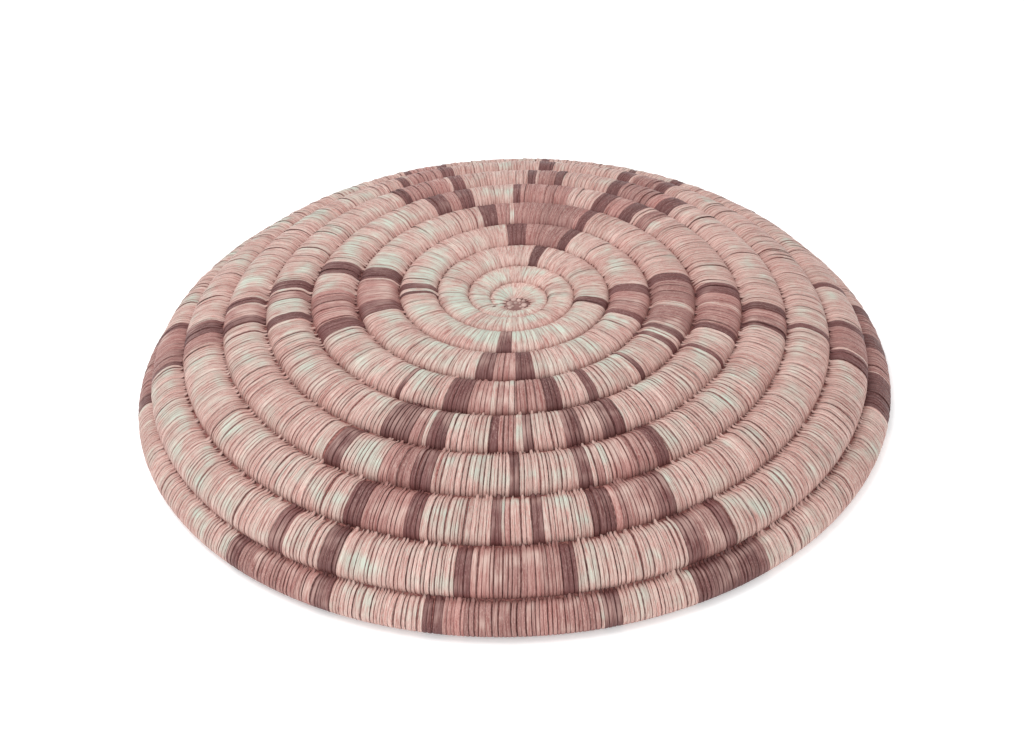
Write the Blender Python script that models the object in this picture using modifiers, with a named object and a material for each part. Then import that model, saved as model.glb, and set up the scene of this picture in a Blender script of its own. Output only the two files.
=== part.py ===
# Coiled plaque: a grass bundle wound into a spiral and sewn round by round into a shallow dome.
# It lies rounded side up. Metres, +Z up, origin at the middle of the face that it rests on.
# The coil runs clockwise seen from above. A place along it is given in turns, counted from where
# it passes the left side, -X, for the first time after its start round the middle.
import itertools
import math

import bmesh
import bpy
import numpy
from mathutils import Matrix, Vector

# The coil: where it starts and ends, its width from edge to edge and how that grows and tapers
start_turn = -1.125
end_turn = 9.25
turns_to_full_width = 5.62
start_width = 0.00464
full_width = 0.0184
rim_taper_turn = 7.52
rim_taper_turns = 1.8
rim_width_share = 0.607
end_taper_turn = 9.02
end_width = 0.0045

# Its cross-section, widest high up, where each round nests against the next. Shares of its width.
thickness_share = 0.80
crown_share = 0.50
groove_height_share = 0.165
waist_share = 0.88
waist_drop_share = 0.22

# The dome: slope of the coil's path at its outer end, and the dimple round the middle
dome_slope = math.radians(50.9)
dome_power = 2.4
rim_roll = math.radians(10.3)
rim_roll_power = 10.35
dimple_depth = 0.0025
dimple_radius = 0.020

# What lies between the pieces, and how thick the sewn wrap is
round_gap = 0.0005
wrap_clearance = 0.0003
seam_gap = 0.0004
wrap_wall_share = 0.125

# The knot in the middle, and the flat on which the rim rests
knot_radius = 0.0038
knot_height = 0.0042
foot_cut_share = 0.1

# Facets
points_per_turn = 24
fine_steps = 40
knot_segments = 12
knot_rings = 8
weld_distance = 0.00001
crease_angle = math.radians(75)
millimetre = 0.001

# Stretches sewn with dyed splints, from and to, in turns. They make four arms, narrow at the left
# and right, wide at the front and back.
dyed_stretch_turns = {
    "r2_back": (2.228, 2.337),
    "r2_right": (2.488, 2.562),
    "r2_front": (2.717, 2.779),
    "r2_left": (2.945, 3.032),
    "r3_back": (3.202, 3.331),
    "r3_right": (3.470, 3.569),
    "r3_front": (3.701, 3.795),
    "r3_left": (3.929, 4.036),
    "r4_back": (4.165, 4.359),
    "r4_right": (4.485, 4.546),
    "r4_front": (4.667, 4.825),
    "r4_left": (4.962, 5.012),
    "r5_back": (5.151, 5.369),
    "r5_right": (5.498, 5.525),
    "r5_front": (5.654, 5.845),
    "r5_left": (5.974, 6.000),
    "r6_back": (6.165, 6.342),
    "r6_front": (6.666, 6.818),
    "r7_back": (7.180, 7.345),
    "r7_right": (7.488, 7.520),
    "r7_front": (7.645, 7.845),
    "r7_left": (7.972, 8.008),
    "r8_back": (8.190, 8.350),
    "r8_right": (8.458, 8.533),
    "r8_front": (8.636, 8.862),
    "r8_left": (8.966, 9.020),
}

natural_colour = (0.66, 0.55, 0.45)
dyed_colour = (0.36, 0.17, 0.15)
knot_colour = (0.30, 0.15, 0.14)
grass_colour = (0.55, 0.48, 0.30)
splint_roughness = 0.62
grass_roughness = 0.80


def smooth_step(share):
    """0 to 1 with level ends."""
    share = min(max(share, 0), 1)
    return share * share * (3 - 2 * share)


def sewn_width(turn):
    """Room that the coil takes from its neighbours, before its end is tapered off."""
    grown = min((turn - start_turn) / turns_to_full_width, 1)
    width = start_width + (full_width - start_width) * math.sin(math.pi / 2 * grown)
    tapered = smooth_step((turn - rim_taper_turn) / rim_taper_turns)
    return width * (1 - (1 - rim_width_share) * tapered)


def coil_width(turn):
    """Width of the coil, with its outer end tapered off against the round before."""
    ended = smooth_step((turn - end_taper_turn) / (end_turn - end_taper_turn))
    return sewn_width(turn) * (1 - ended) + end_width * ended


def running_sum(values, places):
    """Integral of the values over the places, from the first one on."""
    steps = (values[1:] + values[:-1]) / 2 * numpy.diff(places)
    return numpy.concatenate(([0], numpy.cumsum(steps)))


class Dome:
    """The surface in which the coil's centre line lies, rolled out from the middle to the rim."""

    def __init__(self):
        steps = round((end_turn - start_turn) * points_per_turn * fine_steps)
        self.turns = numpy.linspace(start_turn, end_turn, steps + 1)
        widths = numpy.array([sewn_width(turn) for turn in self.turns])
        self.start_arc = knot_radius + round_gap + start_width / 2
        self.arcs = self.start_arc + running_sum(widths, self.turns)
        slopes = numpy.array([self.slope(arc) for arc in self.arcs])
        self.radii = self.start_arc + running_sum(numpy.cos(slopes), self.arcs)
        self.heights = -running_sum(numpy.sin(slopes), self.arcs)

    def slope(self, arc):
        """Downward slope of the surface, at an arc length from the middle."""
        share = arc / self.arcs[-1]
        dimple = 2 * dimple_depth * arc / dimple_radius ** 2 * math.exp(-(arc / dimple_radius) ** 2)
        return dome_slope * share ** dome_power + rim_roll * share ** rim_roll_power - math.atan(dimple)

    def arc_at(self, turn):
        """Arc length to the coil's centre line. The tapered end keeps against the round before."""
        arc = numpy.interp(turn, self.turns, self.arcs)
        return arc - (sewn_width(turn) - coil_width(turn)) / 2

    def place(self, turn):
        """Coordinates of the coil's centre line."""
        arc = self.arc_at(turn)
        radius = numpy.interp(arc, self.arcs, self.radii)
        height = numpy.interp(arc, self.arcs, self.heights)
        angle = turn * math.tau
        return numpy.array((-radius * math.cos(angle), radius * math.sin(angle), height))

    def point(self, turn):
        """Point of the coil's centre line."""
        return Vector(self.place(turn))


dome = Dome()


def wrap_half_width(turn):
    """Half the width of the wrapped coil, clear of the rounds beside it where they nest.

    They nest above the coil's middle, and there a dome's rounds stand a little further apart.
    """
    width, arc = coil_width(turn), dome.arc_at(turn)
    bend = dome.slope(arc + width / 2) - dome.slope(arc - width / 2)
    return (width * (1 + groove_height_share * bend) - round_gap) / 2


def wrap_wall(half):
    """Thickness of the sewn wrap on a coil of this half width."""
    return 2 * half * wrap_wall_share


def section_corners():
    """Corners of the coil's cross-section, across and up, where half its width is one."""
    groove, top = 2 * groove_height_share, thickness_share
    waist, drop = waist_share, 2 * waist_drop_share
    crown = crown_share
    right = [(crown, -top), (waist, -drop), (1, groove), (crown, top)]
    left = [(-across, up) for across, up in reversed(right)]
    return numpy.array(right + left)


def corner_reach():
    """How much smaller half the width gets when every side of the section moves in by one."""
    start = section_corners()
    side = numpy.roll(start, -1, axis=0) - start
    moments = start[:, 0] * side[:, 1] - start[:, 1] * side[:, 0]
    return (numpy.linalg.norm(side, axis=1) / moments).max()


def grass_half_width(turn):
    """Half the width of the bundle that the wrap leaves room for."""
    outer = wrap_half_width(turn)
    return outer - corner_reach() * (wrap_wall(outer) + wrap_clearance)


def grid_turns():
    """The places along the coil where its facets meet: the same directions in every round."""
    first = round(start_turn * points_per_turn)
    last = round(end_turn * points_per_turn)
    return [step / points_per_turn for step in range(first, last + 1)]


def stations(first, last, half_width):
    """Centre, half width and slope from one turn to another. Ends lie on the facets' straight runs."""
    grid = grid_turns()
    points = [dome.point(turn) for turn in grid]
    halves = [half_width(turn) for turn in grid]
    slopes = [dome.slope(dome.arc_at(turn)) for turn in grid]
    inner = [turn for turn in grid if first < turn < last]
    found = []
    for turn in [first] + inner + [last]:
        place = min(int((turn - start_turn) * points_per_turn), len(grid) - 2)
        share = (turn - grid[place]) * points_per_turn
        centre = points[place].lerp(points[place + 1], share)
        half = halves[place] * (1 - share) + halves[place + 1] * share
        slope = slopes[place] * (1 - share) + slopes[place + 1] * share
        found.append((centre, half, slope))
    return found


def make_collection(name):
    """A new collection in the scene."""
    collection = bpy.data.collections.new(name)
    bpy.context.scene.collection.children.link(collection)
    return collection


def make_material(name, colour, roughness):
    """A plain Principled material."""
    material = bpy.data.materials.new(name)
    material.use_nodes = True
    shader = material.node_tree.nodes["Principled BSDF"]
    shader.inputs["Base Color"].default_value = (*colour, 1)
    shader.inputs["Roughness"].default_value = roughness
    shader.inputs["Metallic"].default_value = 0
    material.diffuse_color = (*colour, 1)
    return material


def section_outline(guides):
    """The cross-section as a closed outline, swept to make every length of coil."""
    corners = section_corners()
    data = bpy.data.curves.new("coil_section", "CURVE")
    data.dimensions = "2D"
    data.fill_mode = "NONE"
    spline = data.splines.new("POLY")
    spline.points.add(len(corners) - 1)
    for point, (across, up) in zip(spline.points, corners):
        point.co = (across, up, 0, 1)
    spline.use_cyclic_u = True
    outline = bpy.data.objects.new("coil_section", data)
    outline.hide_render = True
    outline.display_type = "WIRE"
    guides.objects.link(outline)
    return outline


def swept_mesh(name, places, outline, capped):
    """Mesh of the outline swept along the places, and turned to the dome's slope at each."""
    data = bpy.data.curves.new(name, "CURVE")
    data.dimensions = "3D"
    data.twist_mode = "Z_UP"
    data.bevel_mode = "OBJECT"
    data.bevel_object = outline
    data.use_fill_caps = capped
    spline = data.splines.new("POLY")
    spline.points.add(len(places) - 1)
    for point, (centre, half, slope) in zip(spline.points, places):
        point.co = (*centre, 1)
        point.radius = half
        point.tilt = -slope
    curve = bpy.data.objects.new(name, data)
    bpy.context.scene.collection.objects.link(curve)
    mesh = bpy.data.meshes.new_from_object(curve.evaluated_get(bpy.context.evaluated_depsgraph_get()))
    bpy.data.objects.remove(curve)
    weld = bmesh.new()
    weld.from_mesh(mesh)
    bmesh.ops.remove_doubles(weld, verts=weld.verts, dist=weld_distance)
    bmesh.ops.recalc_face_normals(weld, faces=weld.faces)
    if not capped:
        turn_outwards(weld, places[0][0])
    weld.to_mesh(mesh)
    weld.free()
    mesh.shade_smooth()
    mesh.set_sharp_from_angle(angle=crease_angle)
    return mesh


def turn_outwards(tube, start):
    """Makes the faces of an open tube look away from its centre line."""
    first = min(tube.faces, key=lambda face: (face.calc_center_median() - start).length)
    if first.normal.dot(first.calc_center_median() - start) < 0:
        bmesh.ops.reverse_faces(tube, faces=tube.faces)


def add_piece(name, mesh, material, parts, frame):
    """One named piece of the plaque, carried by the plaque's frame."""
    piece = bpy.data.objects.new(name, mesh)
    mesh.materials.clear()
    mesh.materials.append(material)
    parts.objects.link(piece)
    piece.parent = frame
    return piece


def make_foundation(outline, parts, frame):
    """The grass bundle: one unbroken tube from the middle to the rim."""
    places = stations(start_turn, end_turn, grass_half_width)
    mesh = swept_mesh("grass_foundation", places, outline, True)
    material = make_material("grass_foundation", grass_colour, grass_roughness)
    return add_piece("grass_foundation", mesh, material, parts, frame)


def make_knot(parts, frame):
    """The knot that starts the coil, a low button in the middle of the first round."""
    knot = bmesh.new()
    bmesh.ops.create_uvsphere(knot, u_segments=knot_segments, v_segments=knot_rings, radius=1)
    bmesh.ops.scale(knot, verts=knot.verts, vec=(knot_radius, knot_radius, knot_height / 2))
    mesh = bpy.data.meshes.new("start_knot")
    knot.to_mesh(mesh)
    knot.free()
    mesh.shade_smooth()
    material = make_material("start_knot", knot_colour, splint_roughness)
    return add_piece("start_knot", mesh, material, parts, frame)


def wrap_stretches():
    """Name, first turn and last turn of each wrap, in order from the middle to the rim."""
    found = []
    turn = start_turn
    plain = "plain_wrap_start"
    for name, (first, last) in dyed_stretch_turns.items():
        found.append((plain, turn, first))
        found.append(("dyed_wrap_" + name, first, last))
        plain = "plain_wrap_after_" + name
        turn = last
    found.append((plain, turn, end_turn))
    return found


def as_turns(length, turn):
    """A length along the coil as turns, at a place along it."""
    point = dome.point(turn)
    return length / (math.tau * math.hypot(point.x, point.y))


def seam_turn(turn):
    """Place of a seam, moved onto the straight run of a facet if it lies where two facets meet."""
    meeting = round(turn * points_per_turn) / points_per_turn
    half = wrap_half_width(turn)
    lean = half * math.tan(math.pi / points_per_turn)
    keep = as_turns(lean + wrap_wall(half), turn)
    if abs(turn - meeting) >= keep:
        return turn
    return meeting + math.copysign(keep, turn - meeting)


def make_wrap(name, first, last, outline, parts, frame):
    """One stretch of the sewn wrap, a sleeve round the grass bundle."""
    half_seam = as_turns(seam_gap / 2, first)
    begin = first if first == start_turn else seam_turn(first) + half_seam
    finish = last if last == end_turn else seam_turn(last) - half_seam
    places = stations(begin, finish, wrap_half_width)
    mesh = swept_mesh(name, places, outline, False)
    colour = dyed_colour if name.startswith("dyed") else natural_colour
    piece = add_piece(name, mesh, make_material(name, colour, splint_roughness), parts, frame)
    shell = piece.modifiers.new("wall", "SOLIDIFY")
    shell.thickness = wrap_wall(min(half for centre, half, slope in places))
    shell.offset = -1
    shell.use_even_offset = True
    return piece


def lowest_places():
    """Lowest place of the wrapped coil at each facet meet of its last round."""
    found = []
    for turn in grid_turns():
        if turn >= end_taper_turn - 1:
            half = wrap_half_width(turn)
            slope = dome.slope(dome.arc_at(turn))
            across, up = section_corners().T
            drop = half * (across * math.sin(slope) - up * math.cos(slope)).max()
            found.append(dome.place(turn) - (0, 0, drop))
    return numpy.array(found)


def holds_axis(corners):
    """Whether the upright axis passes through a triangle."""
    sides = []
    for start, end in zip(corners, numpy.roll(corners, -1, axis=0)):
        sides.append((end[1] - start[1]) * start[0] - (end[0] - start[0]) * start[1] > 0)
    return sides[0] == sides[1] == sides[2]


def levelling():
    """Rotation that stands the rim on three of its low points, because a spiral's rim is askew."""
    low = lowest_places()
    best_clearance, best_normal = -math.inf, None
    for chosen in itertools.combinations(range(len(low)), 3):
        corners = low[list(chosen)]
        if not holds_axis(corners):
            continue
        normal = numpy.cross(corners[1] - corners[0], corners[2] - corners[0])
        normal *= math.copysign(1, normal[2]) / numpy.linalg.norm(normal)
        others = numpy.delete(low, chosen, axis=0)
        clearance = ((others - corners[0]) @ normal).min()
        if clearance > best_clearance:
            best_clearance, best_normal = clearance, normal
    return Vector(best_normal).rotation_difference(Vector((0, 0, 1))).to_matrix().to_4x4()


def settle(frame, pieces, guides):
    """Levels the plaque, cuts its foot flat and sets it down round the origin."""
    turned = levelling()
    corners = numpy.array([turned @ vertex.co for piece in pieces for vertex in piece.data.vertices])
    low, high = corners.min(axis=0), corners.max(axis=0)
    foot_cut = foot_cut_share * coil_width(end_taper_turn)
    middle = Vector(((low[0] + high[0]) / 2, (low[1] + high[1]) / 2, low[2] + foot_cut))
    frame.matrix_world = Matrix.Translation(-middle) @ turned
    bpy.context.view_layer.update()
    reach = (high - low).max()
    bpy.ops.mesh.primitive_cube_add(size=1, location=(0, 0, -foot_cut))
    ground = bpy.context.active_object
    ground.name = "ground_cutter"
    ground.dimensions = (2 * reach, 2 * reach, 2 * foot_cut)
    bpy.ops.object.transform_apply(location=False, rotation=False, scale=True)
    ground.hide_render = True
    ground.display_type = "WIRE"
    for collection in ground.users_collection:
        collection.objects.unlink(ground)
    guides.objects.link(ground)
    for piece in pieces:
        if min((frame.matrix_world @ vertex.co).z for vertex in piece.data.vertices) < 0:
            cut = piece.modifiers.new("foot", "BOOLEAN")
            cut.operation = "DIFFERENCE"
            cut.solver = "EXACT"
            cut.object = ground


def radial_section(turn, half_width):
    """Corners of the coil's section at a place along it, in the upright plane through the axis."""
    centre, slope = dome.place(turn), dome.slope(dome.arc_at(turn))
    across, up = section_corners().T * half_width(turn)
    outward = math.hypot(centre[0], centre[1]) + across * math.cos(slope) + up * math.sin(slope)
    return numpy.stack([outward, centre[2] - across * math.sin(slope) + up * math.cos(slope)], 1)


def corner_gap(points, corners):
    """Least distance from points to the sides of a section."""
    side = numpy.roll(corners, -1, axis=0) - corners
    away = points[:, None] - corners
    share = ((away * side).sum(axis=2) / (side * side).sum(axis=1)).clip(0, 1)
    return numpy.linalg.norm(away - share[:, :, None] * side, axis=2).min()


def least_gap(half_width):
    """Least distance between one round of a tube and the next, measured on their sections."""
    gaps = []
    for turn in grid_turns():
        if turn + 1 <= end_turn:
            inner = radial_section(turn, half_width)
            outer = radial_section(turn + 1, half_width)
            gaps += [corner_gap(inner, outer), corner_gap(outer, inner)]
    return min(gaps)


def main():
    for old in list(bpy.data.objects):
        bpy.data.objects.remove(old)
    parts = make_collection("coiled_plaque")
    guides = make_collection("guides")
    frame = bpy.data.objects.new("plaque_frame", None)
    parts.objects.link(frame)
    outline = section_outline(guides)
    pieces = [make_knot(parts, frame), make_foundation(outline, parts, frame)]
    for name, first, last in wrap_stretches():
        pieces.append(make_wrap(name, first, last, outline, parts, frame))
    settle(frame, pieces, guides)
    print("least gap of the grass coil to itself, mm:", round(least_gap(grass_half_width) / millimetre, 2))
    print("least gap between wrapped rounds, mm:", round(least_gap(wrap_half_width) / millimetre, 2))


main()
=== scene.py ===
# Coiled plaque: every splint stitch over the grass coil, with its floor, light and camera.
# Metres, +Z up, the same frame as the solids. A place along the coil is given in turns, counted
# from where the coil passes the left side, -X, for the first time after its start.
import itertools
import math

import bmesh
import bpy
import numpy as np
from mathutils import Matrix, Vector


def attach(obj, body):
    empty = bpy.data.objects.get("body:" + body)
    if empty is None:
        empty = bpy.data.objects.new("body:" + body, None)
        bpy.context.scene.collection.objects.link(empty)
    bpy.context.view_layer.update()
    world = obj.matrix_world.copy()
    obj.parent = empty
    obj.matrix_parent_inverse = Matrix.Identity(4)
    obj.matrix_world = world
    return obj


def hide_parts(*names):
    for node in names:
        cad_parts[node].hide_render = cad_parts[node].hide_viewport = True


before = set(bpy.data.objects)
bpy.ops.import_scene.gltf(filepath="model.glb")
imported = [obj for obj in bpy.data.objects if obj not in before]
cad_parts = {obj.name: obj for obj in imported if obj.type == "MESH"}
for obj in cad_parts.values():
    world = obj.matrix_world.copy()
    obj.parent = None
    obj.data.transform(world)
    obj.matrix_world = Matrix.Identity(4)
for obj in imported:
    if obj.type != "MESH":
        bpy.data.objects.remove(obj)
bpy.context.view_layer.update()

# The coil, as in the solids
START_TURN = -1.125
END_TURN = 9.25
TURNS_TO_FULL_WIDTH = 5.62
START_WIDTH = 0.00464
FULL_WIDTH = 0.0184
RIM_TAPER_TURN = 7.52
RIM_TAPER_TURNS = 1.8
RIM_WIDTH_SHARE = 0.607
END_TAPER_TURN = 9.02
END_WIDTH = 0.0045
SOLID_THICKNESS_SHARE = 0.80
CROWN_SHARE = 0.50
GROOVE_HEIGHT_SHARE = 0.165
WAIST_SHARE = 0.88
WAIST_DROP_SHARE = 0.22
DOME_SLOPE = math.radians(50.9)
DOME_POWER = 2.4
RIM_ROLL = math.radians(10.3)
RIM_ROLL_POWER = 10.35
DIMPLE_DEPTH = 0.0025
DIMPLE_RADIUS = 0.020
ROUND_GAP = 0.0005
KNOT_RADIUS = 0.0038
FOOT_CUT_SHARE = 0.1
POINTS_PER_TURN = 24
SURFACE_STEPS = 20001

# Stretches of coil that have a node of their own in the solids, and what is sewn there
DYED_STRETCHES = {
    "r2_back": (2.228, 2.337),
    "r2_right": (2.488, 2.562),
    "r2_front": (2.717, 2.779),
    "r2_left": (2.945, 3.032),
    "r3_back": (3.202, 3.331),
    "r3_right": (3.470, 3.569),
    "r3_front": (3.701, 3.795),
    "r3_left": (3.929, 4.036),
    "r4_back": (4.165, 4.359),
    "r4_right": (4.485, 4.546),
    "r4_front": (4.667, 4.825),
    "r4_left": (4.962, 5.012),
    "r5_back": (5.151, 5.369),
    "r5_right": (5.498, 5.525),
    "r5_front": (5.654, 5.845),
    "r5_left": (5.974, 6.000),
    "r6_back": (6.165, 6.342),
    "r6_front": (6.666, 6.818),
    "r7_back": (7.180, 7.345),
    "r7_right": (7.488, 7.520),
    "r7_front": (7.645, 7.845),
    "r7_left": (7.972, 8.008),
    "r8_back": (8.190, 8.350),
    "r8_right": (8.458, 8.533),
    "r8_front": (8.636, 8.862),
    "r8_left": (8.966, 9.020),
}

# Dyed splints along the coil: D dark brown, R red-brown, N natural, each up to the turn after it
DYE_RUNS = [
    "1.279 D 1.313",
    "1.525 D 1.549",
    "1.742 D 1.769",
    "1.976 D 1.986 R 1.994 D 2.006",
    "2.230 D 2.257 R 2.320 D 2.337",
    "2.488 D 2.507 R 2.548 D 2.562",
    "2.717 D 2.736 N 2.740 R 2.762 D 2.779",
    "2.945 D 2.966 R 3.010 D 3.032",
    "3.202 D 3.219 R 3.237 N 3.241 R 3.319 D 3.331",
    "3.470 D 3.481 R 3.520 N 3.528 R 3.558 D 3.569",
    "3.577 D 3.583",
    "3.622 D 3.628",
    "3.671 D 3.677",
    "3.701 D 3.716 R 3.739 N 3.742 R 3.755 N 3.758 R 3.777 D 3.795",
    "3.830 D 3.835",
    "3.929 D 3.946 R 3.990 N 4.019 D 4.036",
    "4.162 D 4.176 R 4.188 D 4.203 N 4.237 D 4.246 R 4.289",
    "4.289 N 4.313 D 4.327 R 4.343 D 4.360 N 4.366 R 4.376",
    "4.485 D 4.498 R 4.512 D 4.515 R 4.539 D 4.546",
    "4.570 D 4.576",
    "4.667 D 4.683 R 4.695 D 4.707 N 4.725 D 4.733 N 4.737 R 4.750 D 4.756",
    "4.756 N 4.781 D 4.796 R 4.806 D 4.824",
    "4.961 D 4.972 N 4.988 R 5.000 D 5.012",
    "5.149 D 5.156 R 5.190 D 5.202 N 5.251 D 5.257 R 5.272 D 5.277 N 5.312 D 5.322 R 5.355 D 5.369",
    "5.498 D 5.504 R 5.519 D 5.525",
    "5.654 D 5.661 R 5.688 N 5.692 R 5.697 D 5.707 N 5.736 D 5.743",
    "5.783 D 5.792 R 5.812 N 5.834 D 5.845",
    "5.974 D 5.981 R 5.994 D 6.000",
    "6.162 D 6.170 R 6.191 D 6.199 N 6.256 D 6.264 N 6.308 D 6.317 R 6.335 D 6.342",
    "6.506 D 6.512",
    "6.664 D 6.673 R 6.694 D 6.704 N 6.725 D 6.732 N 6.741 R 6.744 D 6.751",
    "6.780 D 6.789 R 6.809 D 6.818",
    "6.972 R 6.981 D 6.991",
    "7.174 D 7.180 R 7.194 D 7.201 N 7.255 D 7.261 N 7.304 D 7.310 N 7.330 D 7.336",
    "7.454 D 7.458",
    "7.488 D 7.493 R 7.511 D 7.520",
    "7.645 D 7.651 R 7.662 D 7.669",
    "7.714 D 7.721 R 7.757 D 7.763",
    "7.813 D 7.820 N 7.837 D 7.846",
    "7.972 D 7.976 R 8.002 D 8.008",
    "8.190 D 8.196 R 8.205 N 8.216 D 8.222 N 8.258 D 8.264 N 8.300 D 8.308 N 8.345 R 8.360",
    "8.458 D 8.466 R 8.480 D 8.490 R 8.508 D 8.533",
    "8.636 D 8.668",
    "8.700 D 8.707 R 8.767 D 8.774",
    "8.812 D 8.820 R 8.855 D 8.862",
    "8.966 D 8.973 R 9.012 D 9.020",
]
NATURAL_LIMIT_SHARE = 0.62

# The sewn coil's outline. The first rounds are flatter and squarer.
THICKNESS_SHARE = 0.82
START_FLATNESS = 0.45
START_FLATNESS_TURNS = 2.4
SECTION_POWER = 2.45
START_POWER_GAIN = 1.9

# Stitches: how far apart and how wide they lie, and how they lean
SEED = 11
BOUND_STEPS = 200
STITCH_PITCH = 0.00148
START_PITCH_GAIN = 0.0009
START_PITCH_TURNS = 3.0
WIDTH_SPREAD = 0.22
STITCH_FILL_SHARE = 1.15
START_FILL_GAIN = 0.22
FILL_SHARES = (0.99, 1.03)
FAN_POWER = -0.1
LEAN_SPREAD = 0.18
SKEW_SPREAD = 0.18
START_LEAN_SHARE = 0.3
DRIFT_STITCHES = 7
DRIFT_JITTER_SHARE = 0.3

# Each stitch along its length: its tip in the round before, its join to the coil, its top
BITE_SHARE = 0.074
BITE_SPREAD = 0.50
BITE_LIMITS = (0.2, 2)
TIP_WIDTH_SHARE = 0.36
TIP_LENGTH_SHARE = 0.17
TIP_DEPTH_SHARE = 0.085
TIP_LEAN_SHARE = 0.9
JOIN_SHARE = 0.87
JOIN_PULL_SHARE = 0.10
LIFT_SPREAD = 0.016
TOP_POINTS = 13
TIP_POINTS = 7

# Each stitch across its width: places of its points, and how far they drop under its middle
COLUMNS = np.array([-1.0, -0.84, -0.42, 0.42, 0.84, 1.0])
COLUMN_DROPS = np.array([1.0, 0.36, 0.06, 0.06, 0.36, 1.0])
EDGE_DROP = 0.00054
TILT_SPREAD = 0.00007

# Lines between the stitches: fine at the start, clearest in front. Their darkness is painted shade,
# strongest in front, where the key light falls across the stitches.
START_LINE_SHARE = 0.16
FULL_LINE_TURN = 5.5
CLEAREST_TURN = 0.73
SIDE_CALM = 0.62
LINE_SHARES = (0.7, 1)

# Splints: how many stitches one sews, and how its tone varies
SPLINT_STITCHES = (2, 8)
RED_TONE_SHARES = (0.82, 0.34)
DARK_TONE_SHARES = (0.85, 0.3)
TONE_SPREAD = 0.045

# How much of the light tone shows on a stitch, by its dye and by its place
NATURAL_GLOWS = (0.2, 1.0)
DYED_GLOWS = (-0.3, 0.45)
DYED_FRONT_GLOW = 2.6
DYED_FRONT_SIDE_SHARE = 0.5
GLOW_SPREAD = 0.1
START_GLOW = 2.4
START_GLOW_TURNS = 2.2
START_GLOW_DIP = 0.9
# Painted light: more light tone on the left side, which faces the key light
LEFT_PAINTED_LIGHT = 0.1
BACK_DIM = 0.8
BACK_DIM_TURN = 0.34

# The grass core, and the cut stems at its tip
CORE_CLEARANCE = 0.0005
CORE_STEPS = 900
TIP_STEMS = 22
STEM_RADIUS = 0.00033
STEM_LENGTHS = (0.0006, 0.0021)
STEM_REACH_SHARE = 0.78
STEM_SIDES = 7
GOLDEN_ANGLE = math.pi * (3 - math.sqrt(5))

# The knot: middle across and back, half sizes, and how high the first stitches end round it
KNOT_PLACE = (0.0013, -0.0032)
KNOT_HALF_SIZES = (0.0053, 0.0047)
KNOT_EDGE_RISE_SHARE = 0.45
KNOT_EDGE_END_TURN = -0.125
KNOT_EDGE_FADE_TURNS = 0.02

# Camera, from the grooves and the rim in the photograph
PHOTO_WIDTH = 1024
FOCAL_PIXELS = 2077.2
CAMERA_PLACE = (0.06553, -0.68114, 0.51813)
CAMERA_YAW = -0.09598
CAMERA_PITCH = 0.63991
CAMERA_ROLL = -0.04669
SENSOR_WIDTH = 36.0
CLIP_START = 0.01

# Lights: name, place, side and power
LIGHTS = [
    ("key", (-0.8, 0.0, 1.7), 1.2, 16.5),
    ("front", (0.2, -1.4, 0.9), 1.2, 7.8),
]
SKY_STRENGTH = 0.8
FLOOR_COLOUR = (0.9, 0.9, 0.9)
FLOOR_ROUGHNESS = 0.9
FLOOR_GLOW = 0.24
FLOOR_HALF_SIZE = 3.0


def smooth_step(share):
    """0 to 1 with level ends."""
    share = np.clip(share, 0, 1)
    return share * share * (3 - 2 * share)


def sewn_width(turn):
    """Room that the coil takes from its neighbours, before its end is tapered off."""
    grown = np.clip((turn - START_TURN) / TURNS_TO_FULL_WIDTH, 0, 1)
    width = START_WIDTH + (FULL_WIDTH - START_WIDTH) * np.sin(math.pi / 2 * grown)
    return width * (1 - (1 - RIM_WIDTH_SHARE) * smooth_step((turn - RIM_TAPER_TURN) / RIM_TAPER_TURNS))


def coil_width(turn):
    """Width of the coil, with its outer end tapered off."""
    ended = smooth_step((turn - END_TAPER_TURN) / (END_TURN - END_TAPER_TURN))
    return sewn_width(turn) * (1 - ended) + END_WIDTH * ended


def running_sum(values, places):
    """Integral of the values over the places, from the first one on."""
    return np.concatenate(([0], np.cumsum((values[1:] + values[:-1]) / 2 * np.diff(places))))


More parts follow.
